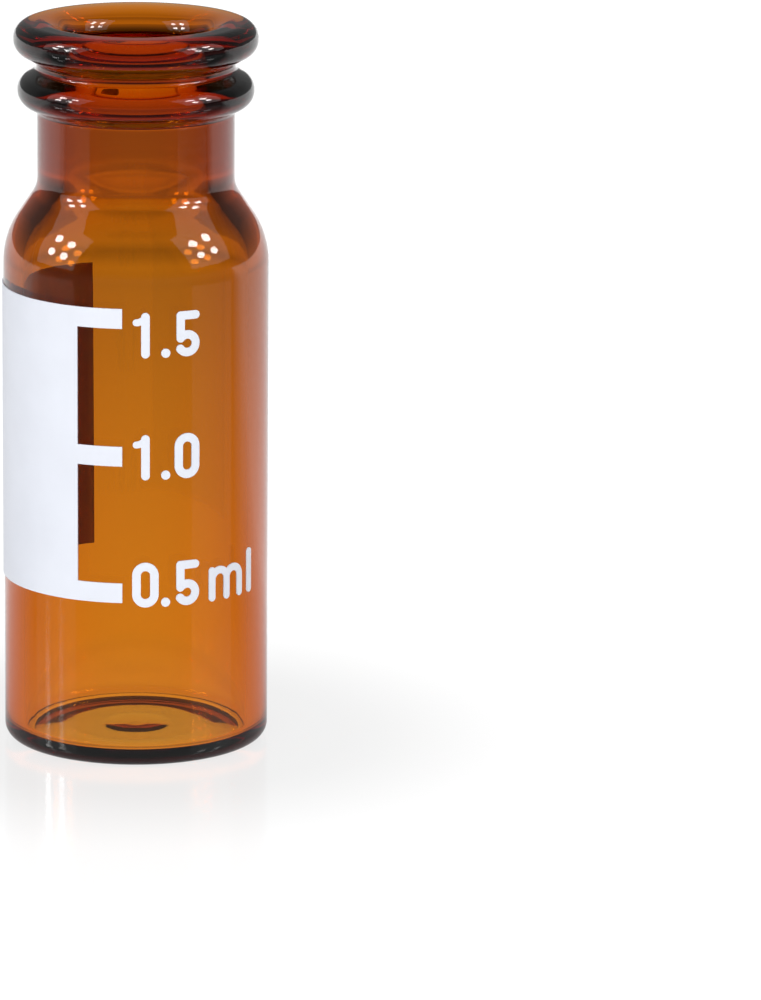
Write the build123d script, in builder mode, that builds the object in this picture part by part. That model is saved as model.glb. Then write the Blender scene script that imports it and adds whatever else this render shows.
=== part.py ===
from build123d import *
import os
from math import cos, degrees, radians, sin, tan

# Glass sample vial with a snap-ring finish and a fired white print.
# Millimetres, origin at the centre of the base, +Z up along the vial's axis, front on -Y.

# Glass tube and base
overall_height = 32.0
body_diameter = 11.6
body_wall = 0.9
floor_height = 0.6
heel_radius = 0.6
inner_heel_radius = 0.4

# Underside, hollow inside the ring that the vial stands on, with a small pip at its middle
standing_ring_diameter = 9.2
standing_ring_rounding = 0.3
hollow_height = 0.25
hollow_diameter = 6.2
hollow_rounding = 4.0
pip_drop = 0.12
pip_diameter = 3.0
pip_tip_diameter = 0.8
pip_rounding = 3.0

# Shoulder
shoulder_corner_depth = 9.46
shoulder_angle = 33.8
shoulder_radius = 3.8
neck_root_radius = 1.3
throat_radius = 3.0
throat_drop = 0.45

# Neck, snap ring and lip, with depths measured down from the rim
neck_diameter = 8.6
mouth_diameter = 6.1
mouth_rounding = 1.1
groove_diameter = 8.65
groove_rounding = 0.25
ring_diameter = 10.3
ring_depth = 3.0
ring_nose_height = 0.9
ring_root_height = 1.8
ring_rounding = 0.7
lip_diameter = 10.65
lip_height = 1.2
lip_underside_rise = 0.55
lip_top_rounding = 0.7
lip_lower_rounding = 0.7

# White enamel, with widths and places measured round the body from its front line
enamel_thickness = 0.04
enamel_clearance = 0.01
patch_width = 13.4
patch_height = 13.05
patch_foot = 7.45
patch_front_edge = -2.6
bar_length = 2.0
bar_thickness = 0.87

# Figures, each placed by its centre, with its height given from the centre of its bar
figure_height = 2.0
figure_width = 1.15
figure_stroke = 0.37
unit_height = 1.53
unit_width = 1.95
unit_stroke = 0.33
point_diameter = 0.4
one_flag_reach = 0.4
one_flag_drop = 0.245
one_flag_stroke = 0.3
five_back_reach = 0.31
five_bowl_start = -145
five_bowl_sweep = 287
first_figure_place = 0.4
point_place = 1.28
second_figure_place = 2.25
unit_place = 4.3
ell_place = 5.82
low_figure_rise = 0.37
middle_figure_rise = -0.04
high_figure_rise = -0.73

# Least length and share of a run that its roundings may use
least_run = 0.000001
run_share = 0.999

body_radius = body_diameter / 2
inner_radius = body_radius - body_wall
neck_radius = neck_diameter / 2
mouth_radius = mouth_diameter / 2
groove_radius = groove_diameter / 2
ring_radius = ring_diameter / 2
lip_radius = lip_diameter / 2
standing_radius = standing_ring_diameter / 2
hollow_radius = hollow_diameter / 2
pip_radius = pip_diameter / 2
pip_tip_radius = pip_tip_diameter / 2
pip_tip_height = hollow_height - pip_drop
enamel_radius = body_radius + enamel_clearance

slope = radians(shoulder_angle)
shoulder_corner = overall_height - shoulder_corner_depth
neck_corner = shoulder_corner + (body_radius - neck_radius) / tan(slope)
inner_shoulder_corner = shoulder_corner - body_wall * tan(slope / 2)
throat_corner = inner_shoulder_corner + (inner_radius - mouth_radius) / tan(slope) - throat_drop

ring_height = overall_height - ring_depth
ring_nose = ring_nose_height / 2
ring_root = ring_root_height / 2
lip_corner = overall_height - lip_height
lip_root = lip_corner - lip_underside_rise

# Every corner of the section with its rounding, from the axis out under the base, up and down the bore
wall_corners = [
    ((0, pip_tip_height), 0),
    ((pip_tip_radius, pip_tip_height), pip_rounding),
    ((pip_radius, hollow_height), pip_rounding),
    ((hollow_radius, hollow_height), hollow_rounding),
    ((standing_radius, 0), standing_ring_rounding),
    ((body_radius, 0), heel_radius),
    ((body_radius, shoulder_corner), shoulder_radius),
    ((neck_radius, neck_corner), neck_root_radius),
    ((neck_radius, ring_height - ring_root), groove_rounding),
    ((ring_radius, ring_height - ring_nose), ring_rounding),
    ((ring_radius, ring_height + ring_nose), ring_rounding),
    ((groove_radius, ring_height + ring_root), groove_rounding),
    ((groove_radius, lip_root), groove_rounding),
    ((lip_radius, lip_corner), lip_lower_rounding),
    ((lip_radius, overall_height), lip_top_rounding),
    ((mouth_radius, overall_height), mouth_rounding),
    ((mouth_radius, throat_corner), throat_radius),
    ((inner_radius, inner_shoulder_corner), shoulder_radius - body_wall),
    ((inner_radius, floor_height), inner_heel_radius),
    ((0, floor_height), 0),
]


def fitted_roundings(corners):
    """Roundings as asked, cut back only on a run too short for the roundings at both its ends."""
    points = [Vector(*place) for place, rounding in corners]
    runs = [after - before for before, after in zip(points, points[1:])]
    half_turns = [radians(a.get_angle(b)) / 2 for a, b in zip(runs, runs[1:])]
    asked = [rounding for place, rounding in corners[1:-1]]
    tangents = [0] + [r * tan(half) for r, half in zip(asked, half_turns)] + [0]
    room = [run.length / (a + b + least_run) for run, a, b in zip(runs, tangents, tangents[1:])]
    return [r * min(1, run_share * min(a, b)) for r, a, b in zip(asked, room, room[1:])]


# Glass vial, turned about its axis from one closed section
with BuildPart() as vial_body:
    with BuildSketch(Plane.XZ) as wall_section:
        with BuildLine() as wall_outline:
            wall = FilletPolyline(
                *[place for place, rounding in wall_corners],
                radius=fitted_roundings(wall_corners),
            )
            Line(wall @ 0, wall @ 1)
        make_face()
    revolve(axis=Axis.Z)


def tangent_plane(place, height, radius):
    """Upright plane touching a cylinder of this radius, at a place measured round the body."""
    turn = place / body_radius
    outward = Vector(sin(turn), -cos(turn), 0)
    along = Vector(cos(turn), sin(turn), 0)
    return Plane(origin=outward * radius + Vector(0, 0, height), x_dir=along, z_dir=outward)


def enamel_band(left, right, foot, height):
    """Skin of enamel on the body between two places round it."""
    start = Plane.XZ.rotated((0, 0, degrees(left / body_radius) - 90))
    with BuildSketch(start) as skin:
        with Locations((enamel_radius, foot)):
            Rectangle(enamel_thickness, height, align=(Align.MIN, Align.MIN))
    revolve(skin.sketch, axis=Axis.Z, revolution_arc=degrees((right - left) / body_radius))


# Writing patch with its three graduation bars
bar_pitch = (patch_height - bar_thickness) / 2
bar_feet = [patch_foot + bar_pitch * step for step in range(3)]

with BuildPart() as writing_patch:
    enamel_band(patch_front_edge - patch_width, patch_front_edge, patch_foot, patch_height)
    for bar_foot in bar_feet:
        enamel_band(patch_front_edge, patch_front_edge + bar_length, bar_foot, bar_thickness)


def pen_stroke(path, width):
    """Line of even width with round ends."""
    make_face(Wire(path.edges()).offset_2d(width / 2, Kind.ARC))


def draw_one():
    top = (figure_height - figure_stroke) / 2
    with BuildLine() as stem:
        Line((0, top), (0, -top))
    pen_stroke(stem, figure_stroke)
    with BuildLine() as flag:
        TangentArc((-one_flag_reach, top - one_flag_drop), (0, top), tangent=(1, 0))
    pen_stroke(flag, one_flag_stroke)


def draw_zero():
    SlotOverall(figure_height, figure_width, rotation=90)
    hole_width = figure_width - 2 * figure_stroke
    hole_height = figure_height - 2 * figure_stroke
    SlotOverall(hole_height, hole_width, rotation=90, mode=Mode.SUBTRACT)


def draw_five():
    top = (figure_height - figure_stroke) / 2
    bowl = (figure_width - figure_stroke) / 2
    with BuildLine() as hook:
        bowl_line = CenterArc((0, bowl - top), bowl, five_bowl_start, five_bowl_sweep)
        Polyline(bowl_line @ 1, (-five_back_reach, top), (bowl, top))
    pen_stroke(hook, figure_stroke)


def draw_point():
    Circle(point_diameter / 2)


def draw_em():
    top = (unit_height - unit_stroke) / 2
    reach = (unit_width - unit_stroke) / 2
    arch = reach / 2
    with BuildLine() as left_stem:
        Line((-reach, -top), (-reach, top))
    pen_stroke(left_stem, unit_stroke)
    for middle in (-arch, arch):
        with BuildLine() as hoop:
            arc = CenterArc((middle, top - arch), arch, 0, 180)
            Line(arc @ 0, (middle + arch, -top))
        pen_stroke(hoop, unit_stroke)


def draw_ell():
    top = (figure_height - unit_stroke) / 2
    with BuildLine() as stem:
        Line((0, top), (0, -top))
    pen_stroke(stem, unit_stroke)


# Figures beside the bars: 0.5 ml at the foot, then 1.0 and 1.5
bar_middles = [bar_foot + bar_thickness / 2 for bar_foot in bar_feet]
low_row = bar_middles[0] + low_figure_rise
middle_row = bar_middles[1] + middle_figure_rise
high_row = bar_middles[2] + high_figure_rise
unit_drop = (figure_height - unit_height) / 2
point_drop = (figure_height - point_diameter) / 2

figures = [
    (draw_zero, first_figure_place, low_row),
    (draw_point, point_place, low_row - point_drop),
    (draw_five, second_figure_place, low_row),
    (draw_em, unit_place, low_row - unit_drop),
    (draw_ell, ell_place, low_row),
    (draw_one, first_figure_place, middle_row),
    (draw_point, point_place, middle_row - point_drop),
    (draw_zero, second_figure_place, middle_row),
    (draw_one, first_figure_place, high_row),
    (draw_point, point_place, high_row - point_drop),
    (draw_five, second_figure_place, high_row),
]

with BuildPart() as graduation_figures:
    for draw, place, height in figures:
        with BuildSketch(tangent_plane(place, height, body_radius - body_wall)):
            draw()
        extrude(amount=2 * body_wall)
    with BuildSketch(Plane.XY):
        Circle(enamel_radius + enamel_thickness)
        Circle(enamel_radius, mode=Mode.SUBTRACT)
    extrude(amount=overall_height, mode=Mode.INTERSECT)

os.makedirs("parts", exist_ok=True)
vial_body.part.label = "vial_body"
writing_patch.part.label = "writing_patch"
graduation_figures.part.label = "graduation_figures"
export_step(vial_body.part, "parts/vial_body.step")
export_step(writing_patch.part, "parts/writing_patch.step")
export_step(graduation_figures.part, "parts/graduation_figures.step")
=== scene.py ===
import math

import bmesh
import bpy
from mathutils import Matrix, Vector


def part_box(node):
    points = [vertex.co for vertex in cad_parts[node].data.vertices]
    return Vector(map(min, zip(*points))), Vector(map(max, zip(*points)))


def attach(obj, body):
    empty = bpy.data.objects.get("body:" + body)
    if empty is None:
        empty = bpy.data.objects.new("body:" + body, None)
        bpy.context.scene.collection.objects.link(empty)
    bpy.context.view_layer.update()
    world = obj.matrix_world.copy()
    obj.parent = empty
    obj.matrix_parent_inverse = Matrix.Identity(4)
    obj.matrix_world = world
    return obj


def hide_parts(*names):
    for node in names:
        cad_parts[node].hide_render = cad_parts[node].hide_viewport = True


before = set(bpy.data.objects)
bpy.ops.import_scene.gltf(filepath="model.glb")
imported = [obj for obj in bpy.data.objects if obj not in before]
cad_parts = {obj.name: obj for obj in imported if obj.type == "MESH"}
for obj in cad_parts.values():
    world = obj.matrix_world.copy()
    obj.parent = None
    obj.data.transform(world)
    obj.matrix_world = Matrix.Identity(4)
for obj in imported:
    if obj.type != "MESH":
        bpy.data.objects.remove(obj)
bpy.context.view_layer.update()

bl_info = {
    "name": "Glass Sample Vial",
    "version": (1, 0, 0),
    "blender": (4, 5, 0),
    "location": "View3D > Sidebar > Vial",
    "description": "Amber glass sample vial with its fired white print, in a plain studio",
    "category": "Object",
}

GLASS_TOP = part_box("vial_body")[1]

# One millimetre in metres, and distances in millimetres that mesh making uses
MILLIMETRE = 0.001
SEAM_GAP = 1e-4
FIGURE_SEAM_GAP = 1e-3
SHADING_MARGIN = 0.05
PATCH_STEP_AROUND = 0.1
PATCH_STEP_UP = 0.45

# Reliefs: marks for each millimetre along X, Y and Z, and how fine their detail is
DRAW_LINES = ((0.7, 0.7, 0.02), 2.0)
RING_MARKS = ((0.05, 0.05, 1.6), 3.0)
HAZE_CLOUDS = ((0.3, 0.3, 0.1), 2.0)
COAT_CLOUDS = ((0.45, 0.45, 0.45), 3.0)
ENAMEL_GRAIN = ((9.0, 9.0, 9.0), 2.0)

# Heights that most of a relief lies between, and the two surfaces' plain values
RELIEF_RANGE = (0.3, 0.7)
GLASS_INDEX = 1.5
ENAMEL_ROUGHNESS = (0.36, 0.52)

# Frame in pixels, the camera's sensor in millimetres and its nearest and farthest sight in metres
FRAME_PIXELS = (761, 1000)
SENSOR_MILLIMETRES = 36.0
CAMERA_SIGHT = (0.01, 100.0)

# Table whose glow is a painted pool of light round the vial, set apart by kind of ray, with painted shade
# near the vial's base to the camera. Each level is a (share of the pool's reach, brightness) stop
TABLE_HALF_SIDE = 3.0
POOL_REACH = 0.4
# Glow to the camera, dimmer near the vial's base: painted shade
PAINTED_SHADE_POOL_TO_CAMERA = ((0.0, 0.76), (0.025, 0.78), (0.045, 0.92), (0.075, 0.97), (0.15, 1.0))
# Glow seen through the glass: a painted pool of light, with painted darker bands
PAINTED_POOL_THROUGH_GLASS = (
    (0.0, 0.95), (0.05, 0.92), (0.17, 0.71), (0.24, 0.54), (0.28, 0.64),
    (0.33, 0.38), (0.4, 0.41), (0.6, 0.55), (1.0, 0.55),
)
# Glow seen in reflections: painted light, brighter near the vial and behind it
PAINTED_POOL_MIRRORED = ((0.0, 0.5), (0.03, 0.4), (0.07, 0.12), (1.0, 0.1))
PAINTED_POOL_BEHIND_MIRRORED = ((0.0, 0.0), (0.06, 0.9))
TABLE_PAINT, TABLE_PAINT_TO_CAMERA = 0.8, 0.1
TABLE_GLOSS_TO_CAMERA, TABLE_GLOSS_MIRRORED = 1.0, 0.25
TABLE_ROUGHNESS = 0.1

# Room. Each level is a (height or depth of the direction, brightness) stop
ROOM_THROUGH_GLASS = ((0.0, 0.45), (0.15, 0.22), (0.3, 0.08), (1.0, 0.04))
ROOM_MIRRORED = ((0.0, 0.1), (0.1, 0.05), (1.0, 0.05))
FAR_WALL_MIRRORED = ((0.0, 0.0), (0.5, 0.16))
ROOM_TO_CAMERA, ROOM_LIGHT = 1.1, 0.675

# Soft boxes, as azimuth from the front and elevation in degrees, with their sizes in metres
SOFTBOXES = ((-76.0, 27.0), (70.0, 31.0))
SOFTBOX_DISTANCE = 0.8
SOFTBOX_SIZE = 0.62
CLOTH_GLOW, LAMP_GLOW = 0.9, 20.0
LAMP_SPACING = 0.2
LAMP_DIAMETER = 0.11
LAMP_SIDES = 32
LAMP_STAND_OFF = 0.01

# Fill light, in metres and watts
FILL_PLACE = (-0.15, -0.95, 0.5)
FILL_DIAMETER = 0.8
FILL_POWER = 6.35


def millimetres(name, description, default):
    """Size in millimetres for the sidebar."""
    return bpy.props.FloatProperty(
        name=name, description=description, default=default, precision=3, unit="CAMERA"
    )


def share(name, description, default):
    """Plain number from 0 to 1 for the sidebar."""
    return bpy.props.FloatProperty(
        name=name, description=description, default=default, min=0.0, max=1.0, precision=3, subtype="FACTOR"
    )


def angle(name, description, degrees):
    """Angle for the sidebar."""
    return bpy.props.FloatProperty(
        name=name, description=description, default=math.radians(degrees), subtype="ANGLE"
    )


def tint(name, description, default):
    """Colour for the sidebar."""
    return bpy.props.FloatVectorProperty(
        name=name, description=description, default=default, subtype="COLOR", min=0.0, max=1.0
    )


class VialGlassSettings(bpy.types.PropertyGroup):
    """Section of the turned glass, in millimetres, and the colour of the glass"""

    overall_height: millimetres("Overall height", "Base to rim", round(GLASS_TOP.z / MILLIMETRE, 3))
    body_diameter: millimetres("Body diameter", "Outside of the tube", round(2 * GLASS_TOP.x / MILLIMETRE, 3))
    body_wall: millimetres("Body wall", "Thickness of the tube", 0.9)
    throat_drop: millimetres("Throat drop", "Throat's corner, below where an even wall puts it", 0.45)
    floor_height: millimetres("Floor height", "Inside floor above the standing ring", 0.6)
    heel_rounding: millimetres("Heel rounding", "Outer edge of the base", 0.6)
    inner_heel_rounding: millimetres("Inner heel rounding", "Inner edge of the floor", 0.4)
    standing_ring_diameter: millimetres("Standing ring", "Inside edge of the ring it stands on", 9.2)
    standing_ring_rounding: millimetres("Standing ring rounding", "Inside edge of the standing ring", 0.3)
    hollow_height: millimetres("Hollow height", "Rise of the underside inside the ring", 0.25)
    hollow_diameter: millimetres("Hollow diameter", "Level top of the hollow", 6.2)
    hollow_rounding: millimetres("Hollow rounding", "Edge of the level top", 4.0)
    pip_drop: millimetres("Pip drop", "Pip at the middle of the underside", 0.12)
    pip_diameter: millimetres("Pip diameter", "Root of the pip", 3.0)
    pip_tip_diameter: millimetres("Pip tip", "Level end of the pip", 0.8)
    pip_rounding: millimetres("Pip rounding", "Root and tip of the pip", 3.0)
    shoulder_corner_depth: millimetres("Shoulder depth", "Rim down to the shoulder's corner", 9.46)
    shoulder_angle: angle("Shoulder angle", "Slope from upright", 33.8)
    shoulder_rounding: millimetres("Shoulder rounding", "Outer corner of the shoulder", 3.8)
    neck_root_rounding: millimetres("Neck root rounding", "Hollow where the neck starts", 1.3)
    throat_rounding: millimetres("Throat rounding", "Foot of the bore", 3.0)
    neck_diameter: millimetres("Neck diameter", "Outside of the neck", 8.6)
    mouth_diameter: millimetres("Mouth diameter", "Bore of the neck", 6.1)
    mouth_rounding: millimetres("Mouth rounding", "Inner edge of the rim", 1.1)
    groove_diameter: millimetres("Groove diameter", "Between the lip and the snap ring", 8.65)
    groove_rounding: millimetres("Groove rounding", "Roots of the lip and the ring", 0.25)
    ring_diameter: millimetres("Ring diameter", "Snap ring", 10.3)
    ring_depth: millimetres("Ring depth", "Rim down to the middle of the ring", 3.0)
    ring_nose_height: millimetres("Ring nose height", "Ring at its edge", 0.9)
    ring_root_height: millimetres("Ring root height", "Ring at the neck", 1.8)
    ring_rounding: millimetres("Ring rounding", "Edges of the snap ring", 0.7)
    lip_diameter: millimetres("Lip diameter", "Outside of the lip", 10.65)
    lip_height: millimetres("Lip height", "Upright side of the lip", 1.2)
    lip_underside_rise: millimetres("Lip underside", "Slope under the lip", 0.55)
    lip_top_rounding: millimetres("Lip top rounding", "Outer edge of the rim", 0.7)
    lip_lower_rounding: millimetres("Lip lower rounding", "Lower edge of the lip", 0.7)
    steps_around: bpy.props.IntProperty(
        name="Steps around", description="Facets round the axis", default=288, min=24, max=720
    )
    steps_per_rounding: bpy.props.IntProperty(
        name="Steps per rounding", description="Facets across each rounding", default=12, min=2, max=40
    )
    absorption_colour: tint("Glass colour", "What the glass lets through", (0.922, 0.700, 0.033))
    absorption_density: bpy.props.FloatProperty(
        name="Glass density", description="Absorption for each metre of glass", default=3000.0, min=0.0
    )
    draw_line_depth: millimetres("Draw lines", "Depth of the upright lines left by drawing the tube", 0.008)
    ring_mark_depth: millimetres("Ring marks", "Depth of the marks round the formed end", 0.004)
    haze: share("Haze", "Greatest roughness of the glass", 0.012)


class VialPrintSettings(bpy.types.PropertyGroup):
    """Fired enamel print, in millimetres round the body from its front line"""

    enamel_thickness: millimetres("Enamel thickness", "How far the print stands proud", 0.04)
    enamel_clearance: millimetres("Enamel clearance", "Glass to the CAD print", 0.01)
    enamel_seat: millimetres("Enamel seat", "How far the print is fused into the glass", 0.02)
    patch_width: millimetres("Patch width", "Writing patch, round the body", 13.4)
    patch_height: millimetres("Patch height", "Writing patch, up the body", 13.05)
    patch_foot: millimetres("Patch foot", "Base up to the patch", 7.45)
    patch_front_edge: millimetres("Patch front edge", "Place of the patch's edge beside the bars", -2.6)
    bar_length: millimetres("Bar length", "Graduation bar, round the body", 2.0)
    bar_thickness: millimetres("Bar thickness", "Graduation bar, up the body", 0.87)
    enamel_colour: tint("Enamel colour", "White of the print", (0.82, 0.85, 0.93))
    coat_tone: share("Coat tone", "White where the coat is thin, as a share of the full white", 0.96)
    coat_depth: millimetres("Coat depth", "Unevenness of the screened coat", 0.01)
    grain_depth: millimetres("Grain depth", "Grain of the fired enamel", 0.002)


class VialStageSettings(bpy.types.PropertyGroup):
    """Camera and studio"""

    camera_distance: millimetres("Camera distance", "Camera to the vial's middle", 316.0)
    camera_elevation: angle("Camera elevation", "Above the horizon", 13.1)
    camera_lens: bpy.props.FloatProperty(
        name="Lens", description="Focal length on a 36 mm frame", default=259.2, unit="CAMERA"
    )
    frame_place: bpy.props.FloatVectorProperty(
        name="Place in the frame", description="Pixel of the vial's middle in a 761 by 1000 frame",
        size=2, default=(136.1, 380.6),
    )


def new_tree(name, inputs):
    """Geometry node group with a geometry in, a geometry out and these named inputs."""
    tree = bpy.data.node_groups.new(name, "GeometryNodeTree")
    tree.interface.new_socket("Geometry", in_out="INPUT", socket_type="NodeSocketGeometry")
    for label, kind in inputs:
        tree.interface.new_socket(label, in_out="INPUT", socket_type=kind)
    tree.interface.new_socket("Geometry", in_out="OUTPUT", socket_type="NodeSocketGeometry")
    return tree, tree.nodes.new("NodeGroupInput"), tree.nodes.new("NodeGroupOutput")


def math_node(tree, operation, first, second=None):
    """Math node fed by sockets or plain numbers. Returns its value."""
    node = tree.nodes.new("ShaderNodeMath")
    node.operation = operation
    for slot, value in enumerate((first, second)):
        if isinstance(value, bpy.types.NodeSocket):
            tree.links.new(value, node.inputs[slot])
        elif value is not None:
            node.inputs[slot].default_value = value
    return node.outputs[0]


def finish_tree(tree, source, group_in, group_out):
    """Realize Instances and Set Material, which every tree ends in."""
    realize = tree.nodes.new("GeometryNodeRealizeInstances")
    surface = tree.nodes.new("GeometryNodeSetMaterial")
    tree.links.new(source, realize.inputs["Geometry"])
    tree.links.new(realize.outputs["Geometry"], surface.inputs["Geometry"])
    tree.links.new(group_in.outputs["Surface"], surface.inputs["Material"])
    tree.links.new(surface.outputs["Geometry"], group_out.inputs["Geometry"])


def lathe_tree():
    """Rounds the corners of an upright section and turns it about Z into a closed wall."""
    tree, group_in, group_out = new_tree(
        "Turned Glass",
        (
            ("Steps Around", "NodeSocketInt"),
            ("Steps Per Rounding", "NodeSocketInt"),
            ("Surface", "NodeSocketMaterial"),
        ),
    )
    node, link = tree.nodes.new, tree.links.new

    section = node("GeometryNodeMeshToCurve")
    link(group_in.outputs["Geometry"], section.inputs["Mesh"])
    rounding = node("GeometryNodeInputNamedAttribute")
    rounding.data_type = "FLOAT"
    rounding.inputs["Name"].default_value = "rounding"
    fillet = node("GeometryNodeFilletCurve")
    fillet.mode = "POLY"
    fillet.inputs["Limit Radius"].default_value = True
    link(section.outputs["Curve"], fillet.inputs["Curve"])
    link(group_in.outputs["Steps Per Rounding"], fillet.inputs["Count"])
    link(rounding.outputs["Attribute"], fillet.inputs["Radius"])

    count = node("GeometryNodeAttributeDomainSize")
    count.component = "CURVE"
    link(fillet.outputs["Curve"], count.inputs["Geometry"])
    columns = math_node(tree, "ADD", group_in.outputs["Steps Around"], 1.0)
    grid = node("GeometryNodeMeshGrid")
    link(count.outputs["Point Count"], grid.inputs["Vertices X"])
    link(columns, grid.inputs["Vertices Y"])

    index = node("GeometryNodeInputIndex").outputs["Index"]
    row = math_node(tree, "FLOOR", math_node(tree, "DIVIDE", math_node(tree, "ADD", index, 0.5), columns))
    column = math_node(tree, "SUBTRACT", index, math_node(tree, "MULTIPLY", row, columns))
    part_turn = math_node(tree, "DIVIDE", column, group_in.outputs["Steps Around"])
    turn = math_node(tree, "MULTIPLY", part_turn, math.tau)

    sample = node("GeometryNodeSampleIndex")
    sample.data_type = "FLOAT_VECTOR"
    link(fillet.outputs["Curve"], sample.inputs["Geometry"])
    link(node("GeometryNodeInputPosition").outputs["Position"], sample.inputs["Value"])
    link(row, sample.inputs["Index"])
    split = node("ShaderNodeSeparateXYZ")
    link(sample.outputs["Value"], split.inputs["Vector"])
    place = node("ShaderNodeCombineXYZ")
    for axis, part in (("X", "COSINE"), ("Y", "SINE")):
        link(math_node(tree, "MULTIPLY", split.outputs["X"], math_node(tree, part, turn)), place.inputs[axis])
    link(split.outputs["Z"], place.inputs["Z"])

    turned = node("GeometryNodeSetPosition")
    link(grid.outputs["Mesh"], turned.inputs["Geometry"])
    link(place.outputs["Vector"], turned.inputs["Position"])
    closed = node("GeometryNodeMergeByDistance")
    closed.inputs["Distance"].default_value = SEAM_GAP * MILLIMETRE
    link(turned.outputs["Geometry"], closed.inputs["Geometry"])
    outward = node("GeometryNodeFlipFaces")
    link(closed.outputs["Geometry"], outward.inputs["Mesh"])
    smooth = node("GeometryNodeSetShadeSmooth")
    link(outward.outputs["Mesh"], smooth.inputs["Geometry"])
    finish_tree(tree, smooth.outputs["Geometry"], group_in, group_out)
    return tree


def wrap_tree():
    """Thickens a flat sheet and bends it round the body, with X as the way round and Z as height."""
    tree, group_in, group_out = new_tree(
        "Wrapped Enamel",
        (
            ("Body Radius", "NodeSocketFloat"),
            ("Seat", "NodeSocketFloat"),
            ("Thickness", "NodeSocketFloat"),
            ("Surface", "NodeSocketMaterial"),
        ),
    )
    node, link = tree.nodes.new, tree.links.new
    depth = math_node(tree, "ADD", group_in.outputs["Seat"], group_in.outputs["Thickness"])
    back = node("GeometryNodeFlipFaces")
    link(group_in.outputs["Geometry"], back.inputs["Mesh"])
    skin = node("GeometryNodeExtrudeMesh")
    skin.inputs["Individual"].default_value = False
    outward = node("ShaderNodeCombineXYZ")
    outward.inputs["Y"].default_value = -1.0
    link(group_in.outputs["Geometry"], skin.inputs["Mesh"])
    link(outward.outputs["Vector"], skin.inputs["Offset"])
    link(depth, skin.inputs["Offset Scale"])
    both = node("GeometryNodeJoinGeometry")
    link(back.outputs["Mesh"], both.inputs["Geometry"])
    link(skin.outputs["Mesh"], both.inputs["Geometry"])
    closed = node("GeometryNodeMergeByDistance")
    closed.inputs["Distance"].default_value = SEAM_GAP * MILLIMETRE
    link(both.outputs["Geometry"], closed.inputs["Geometry"])

    split = node("ShaderNodeSeparateXYZ")
    link(node("GeometryNodeInputPosition").outputs["Position"], split.inputs["Vector"])
    turn = math_node(tree, "DIVIDE", split.outputs["X"], group_in.outputs["Body Radius"])
    seat = math_node(tree, "SUBTRACT", group_in.outputs["Body Radius"], group_in.outputs["Seat"])
    reach = math_node(tree, "SUBTRACT", seat, split.outputs["Y"])
    place = node("ShaderNodeCombineXYZ")
    link(math_node(tree, "MULTIPLY", reach, math_node(tree, "SINE", turn)), place.inputs["X"])
    inward = math_node(tree, "MULTIPLY", reach, math_node(tree, "COSINE", turn))
    link(math_node(tree, "MULTIPLY", inward, -1.0), place.inputs["Y"])
    link(split.outputs["Z"], place.inputs["Z"])
    bent = node("GeometryNodeSetPosition")
    link(closed.outputs["Geometry"], bent.inputs["Geometry"])
    link(place.outputs["Vector"], bent.inputs["Position"])
    finish_tree(tree, bent.outputs["Geometry"], group_in, group_out)
    return tree


def run_tree(name, mesh, tree, values):
    """Plain mesh piece made by running a tree, with these input values, over a starting mesh."""
    carrier = bpy.data.objects.new(name, mesh)
    bpy.context.collection.objects.link(carrier)
    modifier = carrier.modifiers.new(tree.name, "NODES")
    modifier.node_group = tree
    for item in tree.interface.items_tree:
        if item.in_out == "INPUT" and item.name in values:
            modifier[item.identifier] = values[item.name]
    evaluated = carrier.evaluated_get(bpy.context.evaluated_depsgraph_get())
    plain = bpy.data.meshes.new_from_object(evaluated)
    plain.name = name
    carrier.modifiers.clear()
    carrier.data = plain
    bpy.data.meshes.remove(mesh)
    return carrier


def wall_corners(s):
    """Every corner of the glass section, in millimetres, each with its rounding."""
    body, neck, mouth = s.body_diameter / 2, s.neck_diameter / 2, s.mouth_diameter / 2
    groove, ring, lip = s.groove_diameter / 2, s.ring_diameter / 2, s.lip_diameter / 2
    inner = body - s.body_wall
    shoulder = s.overall_height - s.shoulder_corner_depth
    neck_root = shoulder + (body - neck) / math.tan(s.shoulder_angle)
    inner_shoulder = shoulder - s.body_wall * math.tan(s.shoulder_angle / 2)
    throat = inner_shoulder + (inner - mouth) / math.tan(s.shoulder_angle) - s.throat_drop
    ring_height = s.overall_height - s.ring_depth
    nose, root = s.ring_nose_height / 2, s.ring_root_height / 2
    lip_corner = s.overall_height - s.lip_height
    return [
        ((0.0, s.hollow_height - s.pip_drop), 0.0),
        ((s.pip_tip_diameter / 2, s.hollow_height - s.pip_drop), s.pip_rounding),
        ((s.pip_diameter / 2, s.hollow_height), s.pip_rounding),
        ((s.hollow_diameter / 2, s.hollow_height), s.hollow_rounding),
        ((s.standing_ring_diameter / 2, 0.0), s.standing_ring_rounding),
        ((body, 0.0), s.heel_rounding),
        ((body, shoulder), s.shoulder_rounding),
        ((neck, neck_root), s.neck_root_rounding),
        ((neck, ring_height - root), s.groove_rounding),
        ((ring, ring_height - nose), s.ring_rounding),
        ((ring, ring_height + nose), s.ring_rounding),
        ((groove, ring_height + root), s.groove_rounding),
        ((groove, lip_corner - s.lip_underside_rise), s.groove_rounding),
        ((lip, lip_corner), s.lip_lower_rounding),
        ((lip, s.overall_height), s.lip_top_rounding),
        ((mouth, s.overall_height), s.mouth_rounding),
        ((mouth, throat), s.throat_rounding),
        ((inner, inner_shoulder), s.shoulder_rounding - s.body_wall),
        ((inner, s.floor_height), s.inner_heel_rounding),
        ((0.0, s.floor_height), 0.0),
    ]


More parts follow.
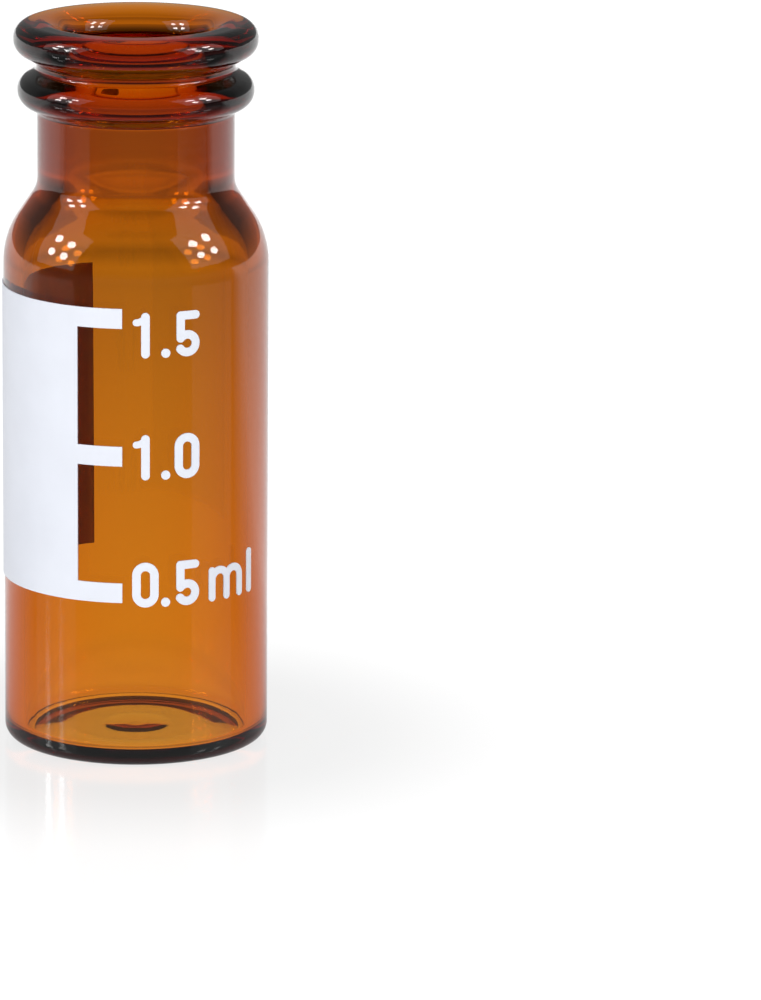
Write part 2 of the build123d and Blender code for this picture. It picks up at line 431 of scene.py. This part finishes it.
def held(corners):
    """Corners with a point just outside each rounding, so that the straight runs shade straight."""
    margin = SHADING_MARGIN
    points = [Vector(place) for place, rounding in corners]
    runs = [after - before for before, after in zip(points, points[1:])]
    tangents = [0.0]
    for (place, rounding), before, after in zip(corners[1:], runs, runs[1:]):
        tangents.append(rounding * math.tan(before.angle(after) / 2))
    tangents.append(0.0)
    kept = []
    for corner, point, run, near, far in zip(corners, points, runs, tangents, tangents[1:]):
        kept.append(corner)
        if run.length > near + far + 3 * margin:
            along = run.normalized()
            kept.append((tuple(point + along * (near + margin)), 0.0))
            kept.append((tuple(point + along * (run.length - far - margin)), 0.0))
    return kept + corners[-1:]


def section_mesh(corners):
    """Open chain of edges through the corners, with the roundings as a point attribute."""
    mesh = bpy.data.meshes.new("glass_section")
    points = [(out * MILLIMETRE, 0.0, up * MILLIMETRE) for (out, up), rounding in corners]
    mesh.from_pydata(points, [(k, k + 1) for k in range(len(points) - 1)], [])
    rounding = mesh.attributes.new("rounding", "FLOAT", "POINT")
    rounding.data.foreach_set("value", [r * MILLIMETRE for place, r in corners])
    return mesh


def stepped(edges, longest):
    """The edges with even steps between them, none longer than asked."""
    stops = [edges[0]]
    for start, end in zip(edges, edges[1:]):
        count = max(1, math.ceil((end - start) / longest))
        stops += [start + (end - start) * k / count for k in range(1, count + 1)]
    return stops


def patch_sheet(s):
    """Flat sheet of the writing patch and its bars, in metres, with X as the way round the body."""
    pitch = (s.patch_height - s.bar_thickness) / 2
    bars = [(s.patch_foot + pitch * k, s.patch_foot + pitch * k + s.bar_thickness) for k in range(3)]
    edge = s.patch_front_edge
    outs = stepped([edge - s.patch_width, edge, edge + s.bar_length], PATCH_STEP_AROUND)
    ups = stepped(sorted(height for bar in bars for height in bar), PATCH_STEP_UP)
    points = [(out * MILLIMETRE, 0.0, up * MILLIMETRE) for up in ups for out in outs]
    width = len(outs)
    faces = []
    for row, (low, high) in enumerate(zip(ups, ups[1:])):
        on_bar = any(foot < (low + high) / 2 < top for foot, top in bars)
        for column, (left, right) in enumerate(zip(outs, outs[1:])):
            if on_bar or (left + right) / 2 < edge:
                corner = row * width + column
                faces.append((corner, corner + 1, corner + width + 1, corner + width))
    mesh = bpy.data.meshes.new("patch_sheet")
    mesh.from_pydata(points, [], faces)
    return mesh


def fused_figures(body, s, enamel):
    """Merged copy of the printed figures, with their backs let into the glass."""
    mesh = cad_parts["graduation_figures"].data.copy()
    edit = bmesh.new()
    edit.from_mesh(mesh)
    bmesh.ops.remove_doubles(edit, verts=edit.verts, dist=FIGURE_SEAM_GAP * MILLIMETRE)
    middle = (body + s.enamel_clearance + s.enamel_thickness / 2) * MILLIMETRE
    back = (body - s.enamel_seat) * MILLIMETRE
    for point in edit.verts:
        out = math.hypot(point.co.x, point.co.y)
        if out < middle:
            point.co.x *= back / out
            point.co.y *= back / out
    for face in edit.faces:
        face.smooth = False
    edit.to_mesh(mesh)
    edit.free()
    mesh.name = "enamel_figures"
    mesh.materials.clear()
    mesh.materials.append(enamel)
    figures = bpy.data.objects.new("enamel_figures", mesh)
    bpy.context.collection.objects.link(figures)
    return figures


def shader(name):
    """Empty material with its Principled shader and output."""
    material = bpy.data.materials.new(name)
    material.use_nodes = True
    return material, material.node_tree, material.node_tree.nodes["Principled BSDF"]


def unevenness_group():
    """Soft relief over a surface, drawn out along X, Y or Z, as a height from 0 to 1."""
    name = "Surface Unevenness"
    if name in bpy.data.node_groups:
        return bpy.data.node_groups[name]
    group = bpy.data.node_groups.new(name, "ShaderNodeTree")
    for label, kind in (("Marks Per Millimetre", "NodeSocketVector"), ("Detail", "NodeSocketFloat")):
        group.interface.new_socket(label, in_out="INPUT", socket_type=kind)
    group.interface.new_socket("Height", in_out="OUTPUT", socket_type="NodeSocketFloat")
    node, link = group.nodes.new, group.links.new
    group_in, group_out = node("NodeGroupInput"), node("NodeGroupOutput")
    place = node("ShaderNodeTexCoord")
    marks = node("ShaderNodeVectorMath")
    marks.operation = "MULTIPLY"
    link(place.outputs["Object"], marks.inputs[0])
    link(group_in.outputs["Marks Per Millimetre"], marks.inputs[1])
    noise = node("ShaderNodeTexNoise")
    noise.inputs["Scale"].default_value = 1.0 / MILLIMETRE
    link(marks.outputs["Vector"], noise.inputs["Vector"])
    link(group_in.outputs["Detail"], noise.inputs["Detail"])
    link(noise.outputs["Fac"], group_out.inputs["Height"])
    return group


def unevenness(tree, relief):
    """Height of one of the reliefs named at the top."""
    marks, detail = relief
    node = tree.nodes.new("ShaderNodeGroup")
    node.node_tree = unevenness_group()
    node.inputs["Marks Per Millimetre"].default_value = marks
    node.inputs["Detail"].default_value = detail
    return node.outputs["Height"]


def spread(tree, value, low, high):
    """Height of a relief, spread between two levels."""
    node = tree.nodes.new("ShaderNodeMapRange")
    for end, level in zip(("From Min", "From Max", "To Min", "To Max"), (*RELIEF_RANGE, low, high)):
        node.inputs[end].default_value = level
    tree.links.new(value, node.inputs["Value"])
    return node.outputs["Result"]


def raised(tree, height, depth, under=None):
    """Normal of a relief this many millimetres deep, over another relief where one is given."""
    bump = tree.nodes.new("ShaderNodeBump")
    bump.inputs["Strength"].default_value = 1.0
    bump.inputs["Distance"].default_value = depth * MILLIMETRE
    tree.links.new(height, bump.inputs["Height"])
    if under:
        tree.links.new(under, bump.inputs["Normal"])
    return bump.outputs["Normal"]


def amber_glass(s):
    """Clear amber glass, with the draw lines of its tube and the ring marks of its formed end."""
    material, tree, surface = shader("amber_glass")
    surface.inputs["Base Color"].default_value = (1, 1, 1, 1)
    surface.inputs["IOR"].default_value = GLASS_INDEX
    surface.inputs["Transmission Weight"].default_value = 1.0

    place = tree.nodes.new("ShaderNodeTexCoord")
    split = tree.nodes.new("ShaderNodeSeparateXYZ")
    tree.links.new(place.outputs["Object"], split.inputs["Vector"])
    formed = tree.nodes.new("ShaderNodeMapRange")
    shoulder = s.overall_height - s.shoulder_corner_depth
    formed.inputs["From Min"].default_value = (shoulder - s.body_wall) * MILLIMETRE
    formed.inputs["From Max"].default_value = (shoulder + s.body_wall) * MILLIMETRE
    tree.links.new(split.outputs["Z"], formed.inputs["Value"])
    rings = math_node(tree, "MULTIPLY", unevenness(tree, RING_MARKS), formed.outputs["Result"])
    drawn = raised(tree, unevenness(tree, DRAW_LINES), s.draw_line_depth)
    normal = raised(tree, rings, s.ring_mark_depth, drawn)
    tree.links.new(normal, surface.inputs["Normal"])
    haze = spread(tree, unevenness(tree, HAZE_CLOUDS), 0.0, s.haze)
    tree.links.new(haze, surface.inputs["Roughness"])

    absorb = tree.nodes.new("ShaderNodeVolumeAbsorption")
    absorb.inputs["Color"].default_value = (*s.absorption_colour, 1)
    absorb.inputs["Density"].default_value = s.absorption_density
    tree.links.new(absorb.outputs["Volume"], tree.nodes["Material Output"].inputs["Volume"])
    return material


def white_enamel(s):
    """Fired white enamel with a fine grain and an uneven screened coat."""
    material, tree, surface = shader("white_enamel")
    coat = unevenness(tree, COAT_CLOUDS)
    grain = unevenness(tree, ENAMEL_GRAIN)
    tone = tree.nodes.new("ShaderNodeMix")
    tone.data_type = "RGBA"
    tone.inputs["A"].default_value = (*(part * s.coat_tone for part in s.enamel_colour), 1)
    tone.inputs["B"].default_value = (*s.enamel_colour, 1)
    tree.links.new(spread(tree, coat, 0.0, 1.0), tone.inputs["Factor"])
    tree.links.new(tone.outputs["Result"], surface.inputs["Base Color"])
    tree.links.new(spread(tree, grain, *ENAMEL_ROUGHNESS), surface.inputs["Roughness"])
    normal = raised(tree, grain, s.grain_depth, raised(tree, coat, s.coat_depth))
    tree.links.new(normal, surface.inputs["Normal"])
    return material


class VIAL_OT_glass(bpy.types.Operator):
    """Turns the amber glass from its section"""

    bl_idname = "vial.glass"
    bl_label = "Vial Glass"

    def execute(self, context):
        s = context.scene.vial_glass
        values = {
            "Steps Around": s.steps_around,
            "Steps Per Rounding": s.steps_per_rounding,
            "Surface": amber_glass(s),
        }
        glass = run_tree("glass_vial", section_mesh(held(wall_corners(s))), lathe_tree(), values)
        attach(glass, "root")
        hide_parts("vial_body")
        return {"FINISHED"}


class VIAL_OT_print(bpy.types.Operator):
    """Prints the writing patch, its bars and the figures in white enamel"""

    bl_idname = "vial.print"
    bl_label = "Vial Print"

    def execute(self, context):
        s = context.scene.vial_print
        enamel = white_enamel(s)
        body = context.scene.vial_glass.body_diameter / 2
        values = {
            "Body Radius": body * MILLIMETRE,
            "Seat": s.enamel_seat * MILLIMETRE,
            "Thickness": (s.enamel_thickness + s.enamel_clearance) * MILLIMETRE,
            "Surface": enamel,
        }
        patch = run_tree("enamel_patch", patch_sheet(s), wrap_tree(), values)
        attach(patch, "root")
        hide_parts("writing_patch")
        figures = fused_figures(body, s, enamel)
        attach(figures, "root")
        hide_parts("graduation_figures")
        return {"FINISHED"}


class VIAL_OT_stage(bpy.types.Operator):
    """Sets up the floor, the light and the camera"""

    bl_idname = "vial.stage"
    bl_label = "Vial Stage"

    def execute(self, context):
        s = context.scene.vial_stage
        make_camera(s, context.scene.vial_glass.overall_height)
        make_table()
        make_room()
        make_softboxes()
        make_fill()
        context.scene.view_settings.view_transform = "Standard"
        return {"FINISHED"}


def make_camera(s, height):
    """Camera that looks down at the vial and places its middle at a pixel of the frame."""
    target = Vector((0, 0, height / 2 * MILLIMETRE))
    back = Vector((0, -math.cos(s.camera_elevation), math.sin(s.camera_elevation)))
    data = bpy.data.cameras.new("camera")
    data.sensor_width = SENSOR_MILLIMETRES
    data.lens = s.camera_lens
    data.clip_start, data.clip_end = CAMERA_SIGHT
    camera = bpy.data.objects.new("camera", data)
    bpy.context.collection.objects.link(camera)
    focal_pixels = s.camera_lens / SENSOR_MILLIMETRES * max(FRAME_PIXELS)
    right = s.frame_place[0] - FRAME_PIXELS[0] / 2
    up = FRAME_PIXELS[1] / 2 - s.frame_place[1]
    aim = Vector((right, up, -focal_pixels))
    camera.rotation_mode = "QUATERNION"
    look = (-back).to_track_quat("-Z", "Y")
    camera.rotation_quaternion = look @ aim.rotation_difference(Vector((0, 0, -1)))
    camera.location = target + back * s.camera_distance * MILLIMETRE
    bpy.context.scene.camera = camera


def grey(level):
    """Grey colour of this level."""
    return (level, level, level, 1)


def rays_switch(tree, rays, otherwise, choices):
    """Colour that differs by kind of ray: each choice is a Light Path output and its colour."""
    value = otherwise
    for kind, colour in choices:
        mix = tree.nodes.new("ShaderNodeMix")
        mix.data_type = "RGBA"
        tree.links.new(rays.outputs[kind], mix.inputs["Factor"])
        for slot, given in (("A", value), ("B", colour)):
            if isinstance(given, bpy.types.NodeSocket):
                tree.links.new(given, mix.inputs[slot])
            else:
                mix.inputs[slot].default_value = given
        value = mix.outputs["Result"]
    return value


def ramp_node(tree, factor, stops):
    """Grey ramp through these (place, level) stops."""
    ramp = tree.nodes.new("ShaderNodeValToRGB")
    tree.links.new(factor, ramp.inputs["Fac"])
    elements = ramp.color_ramp.elements
    while len(elements) < len(stops):
        elements.new(0.5)
    for element, (place, level) in zip(elements, stops):
        element.position, element.color = place, grey(level)
    return ramp.outputs["Color"]


def added(tree, first, second):
    """Sum of two colours."""
    mix = tree.nodes.new("ShaderNodeMix")
    mix.data_type = "RGBA"
    mix.blend_type = "ADD"
    mix.inputs["Factor"].default_value = 1.0
    tree.links.new(first, mix.inputs["A"])
    tree.links.new(second, mix.inputs["B"])
    return mix.outputs["Result"]


def make_table():
    """Glossy white table, with a painted pool of light round the vial in its glow, and a painted shadow near
    the vial's base to the camera.
    """
    material, tree, surface = shader("studio_floor")
    node, link = tree.nodes.new, tree.links.new
    rays = node("ShaderNodeLightPath")
    place = node("ShaderNodeTexCoord")
    distance = node("ShaderNodeVectorMath")
    distance.operation = "LENGTH"
    link(place.outputs["Object"], distance.inputs[0])
    reach = math_node(tree, "DIVIDE", distance.outputs["Value"], POOL_REACH)
    split = node("ShaderNodeSeparateXYZ")
    link(place.outputs["Object"], split.inputs["Vector"])
    depth = math_node(tree, "DIVIDE", split.outputs["Y"], POOL_REACH)
    near = ramp_node(tree, reach, PAINTED_POOL_MIRRORED)
    behind = ramp_node(tree, depth, PAINTED_POOL_BEHIND_MIRRORED)
    paint = rays_switch(tree, rays, grey(TABLE_PAINT), (
        ("Is Glossy Ray", grey(0.0)),
        ("Is Transmission Ray", grey(0.0)),
        ("Is Camera Ray", grey(TABLE_PAINT_TO_CAMERA)),
    ))
    # Painted light: the table's glow is a pool round the vial, brighter or darker by distance for
    # reflections, for sight through the glass and for the camera, where it is dimmer near the base as a
    # painted shadow.
    painted_glow = rays_switch(tree, rays, grey(0.0), (
        ("Is Glossy Ray", added(tree, near, behind)),
        ("Is Transmission Ray", ramp_node(tree, reach, PAINTED_POOL_THROUGH_GLASS)),
        ("Is Camera Ray", ramp_node(tree, reach, PAINTED_SHADE_POOL_TO_CAMERA)),
    ))
    gloss = rays_switch(tree, rays, grey(0.0), (
        ("Is Glossy Ray", grey(TABLE_GLOSS_MIRRORED)),
        ("Is Camera Ray", grey(TABLE_GLOSS_TO_CAMERA)),
    ))
    link(paint, surface.inputs["Base Color"])
    link(painted_glow, surface.inputs["Emission Color"])
    surface.inputs["Emission Strength"].default_value = 1.0
    surface.inputs["Roughness"].default_value = TABLE_ROUGHNESS
    link(gloss, surface.inputs["Specular IOR Level"])
    mesh = bpy.data.meshes.new("studio_floor")
    side = TABLE_HALF_SIDE
    corners = [(-side, -side, 0), (side, -side, 0), (side, side, 0), (-side, side, 0)]
    mesh.from_pydata(corners, [], [(0, 1, 2, 3)])
    mesh.materials.append(material)
    floor = bpy.data.objects.new("studio_floor", mesh)
    bpy.context.collection.objects.link(floor)


def make_room():
    """White to the camera, and to the glass a dim room with a pale horizon and a paler far wall."""
    world = bpy.data.worlds.new("studio")
    world.use_nodes = True
    tree = world.node_tree
    node, link = tree.nodes.new, tree.links.new
    background = tree.nodes["Background"]
    direction = node("ShaderNodeTexCoord")
    split = node("ShaderNodeSeparateXYZ")
    link(direction.outputs["Generated"], split.inputs["Vector"])
    rays = node("ShaderNodeLightPath")
    room = ramp_node(tree, split.outputs["Z"], ROOM_MIRRORED)
    far_wall = ramp_node(tree, split.outputs["Y"], FAR_WALL_MIRRORED)
    colour = rays_switch(tree, rays, grey(ROOM_LIGHT), (
        ("Is Glossy Ray", added(tree, room, far_wall)),
        ("Is Transmission Ray", ramp_node(tree, split.outputs["Z"], ROOM_THROUGH_GLASS)),
        ("Is Camera Ray", grey(ROOM_TO_CAMERA)),
    ))
    link(colour, background.inputs["Color"])
    bpy.context.scene.world = world


def glowing(name, strength):
    """White material that only shines."""
    material, _, surface = shader(name)
    surface.inputs["Base Color"].default_value = grey(0)
    surface.inputs["Emission Color"].default_value = grey(1)
    surface.inputs["Emission Strength"].default_value = strength
    return material


def make_softboxes():
    """Two soft boxes, each a dim cloth with four round lamps just in front of it."""
    cloth, lamps = glowing("softbox_cloth", CLOTH_GLOW), glowing("softbox_lamps", LAMP_GLOW)
    for number, (azimuth, elevation) in enumerate(SOFTBOXES):
        a, e = math.radians(azimuth), math.radians(elevation)
        towards = Vector((math.sin(a) * math.cos(e), -math.cos(a) * math.cos(e), math.sin(e)))
        turn = towards.to_track_quat("Z", "Y")
        mesh = bpy.data.meshes.new(f"softbox_{number + 1}")
        edit = bmesh.new()
        bmesh.ops.create_grid(edit, x_segments=1, y_segments=1, size=SOFTBOX_SIZE / 2)
        for x in (-0.5, 0.5):
            for y in (-0.5, 0.5):
                lamp = bmesh.ops.create_circle(
                    edit, cap_ends=True, segments=LAMP_SIDES, radius=LAMP_DIAMETER / 2
                )
                place = (x * LAMP_SPACING, y * LAMP_SPACING, -LAMP_STAND_OFF)
                bmesh.ops.translate(edit, verts=lamp["verts"], vec=place)
        edit.faces.ensure_lookup_table()
        for face in edit.faces:
            face.material_index = 0 if len(face.verts) == 4 else 1
        for point in edit.verts:
            point.co = turn @ point.co + towards * SOFTBOX_DISTANCE
        edit.to_mesh(mesh)
        edit.free()
        mesh.materials.append(cloth)
        mesh.materials.append(lamps)
        box = bpy.data.objects.new(mesh.name, mesh)
        box.visible_camera = False
        box.visible_diffuse = False
        bpy.context.collection.objects.link(box)


def make_fill():
    """Broad soft light on whatever is matt, from the front and above."""
    data = bpy.data.lights.new("fill_light", "AREA")
    data.shape, data.size = "DISK", FILL_DIAMETER
    data.energy = FILL_POWER
    fill = bpy.data.objects.new("fill_light", data)
    place = Vector(FILL_PLACE)
    fill.location = place
    fill.rotation_mode = "QUATERNION"
    fill.rotation_quaternion = (-place).to_track_quat("-Z", "Y")
    fill.visible_glossy = False
    fill.visible_transmission = False
    bpy.context.collection.objects.link(fill)


class VIAL_PT_sidebar(bpy.types.Panel):
    """Lists the vial's pieces and the stage"""

    bl_idname = "VIAL_PT_sidebar"
    bl_label = "Glass Sample Vial"
    bl_space_type = "VIEW_3D"
    bl_region_type = "UI"
    bl_category = "Vial"

    def draw(self, context):
        for operator in OPERATORS:
            self.layout.operator(operator.bl_idname)


SETTINGS = {
    "vial_glass": VialGlassSettings,
    "vial_print": VialPrintSettings,
    "vial_stage": VialStageSettings,
}
OPERATORS = (VIAL_OT_glass, VIAL_OT_print, VIAL_OT_stage)


def register():
    for name, group in SETTINGS.items():
        bpy.utils.register_class(group)
        setattr(bpy.types.Scene, name, bpy.props.PointerProperty(type=group))
    for part in (*OPERATORS, VIAL_PT_sidebar):
        bpy.utils.register_class(part)


def unregister():
    for part in reversed((*OPERATORS, VIAL_PT_sidebar)):
        bpy.utils.unregister_class(part)
    for name, group in SETTINGS.items():
        delattr(bpy.types.Scene, name)
        bpy.utils.unregister_class(group)


def main():
    register()
    bpy.ops.vial.glass()
    bpy.ops.vial.print()
    bpy.ops.vial.stage()


if __name__ == "__main__":
    main()
